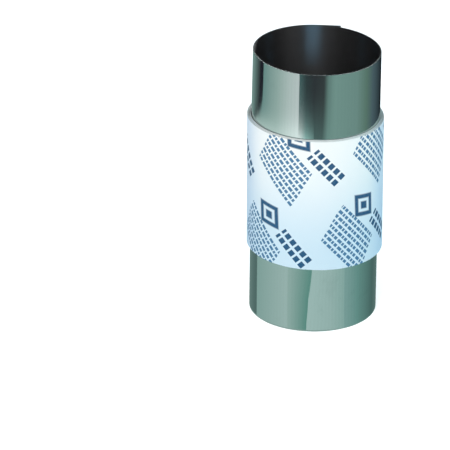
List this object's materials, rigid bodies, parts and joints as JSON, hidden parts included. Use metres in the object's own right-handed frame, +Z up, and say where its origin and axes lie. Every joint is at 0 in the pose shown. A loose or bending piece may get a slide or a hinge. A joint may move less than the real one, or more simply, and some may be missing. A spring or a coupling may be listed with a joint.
{
  "type": "roll of shim stock",
  "caption": "Open coil of thin metal strip that stands on its end, with a loose paper sleeve round its middle.",
  "frame": {"origin": "centre of the coil's bore, on the plane that the coil stands on", "axes": "+Z up along the coil's axis; -Y is the side that the picture was taken from, with +X to its right"},
  "size_m": [0.075, 0.0742, 0.1524],
  "materials": {
    "foil": "bright rolled",
    "paper": "smooth, printed"
  },
  "bodies": {
    "root": {"shim_coil": "foil", "paper_sleeve": "paper"}
  },
  "joints": []
}
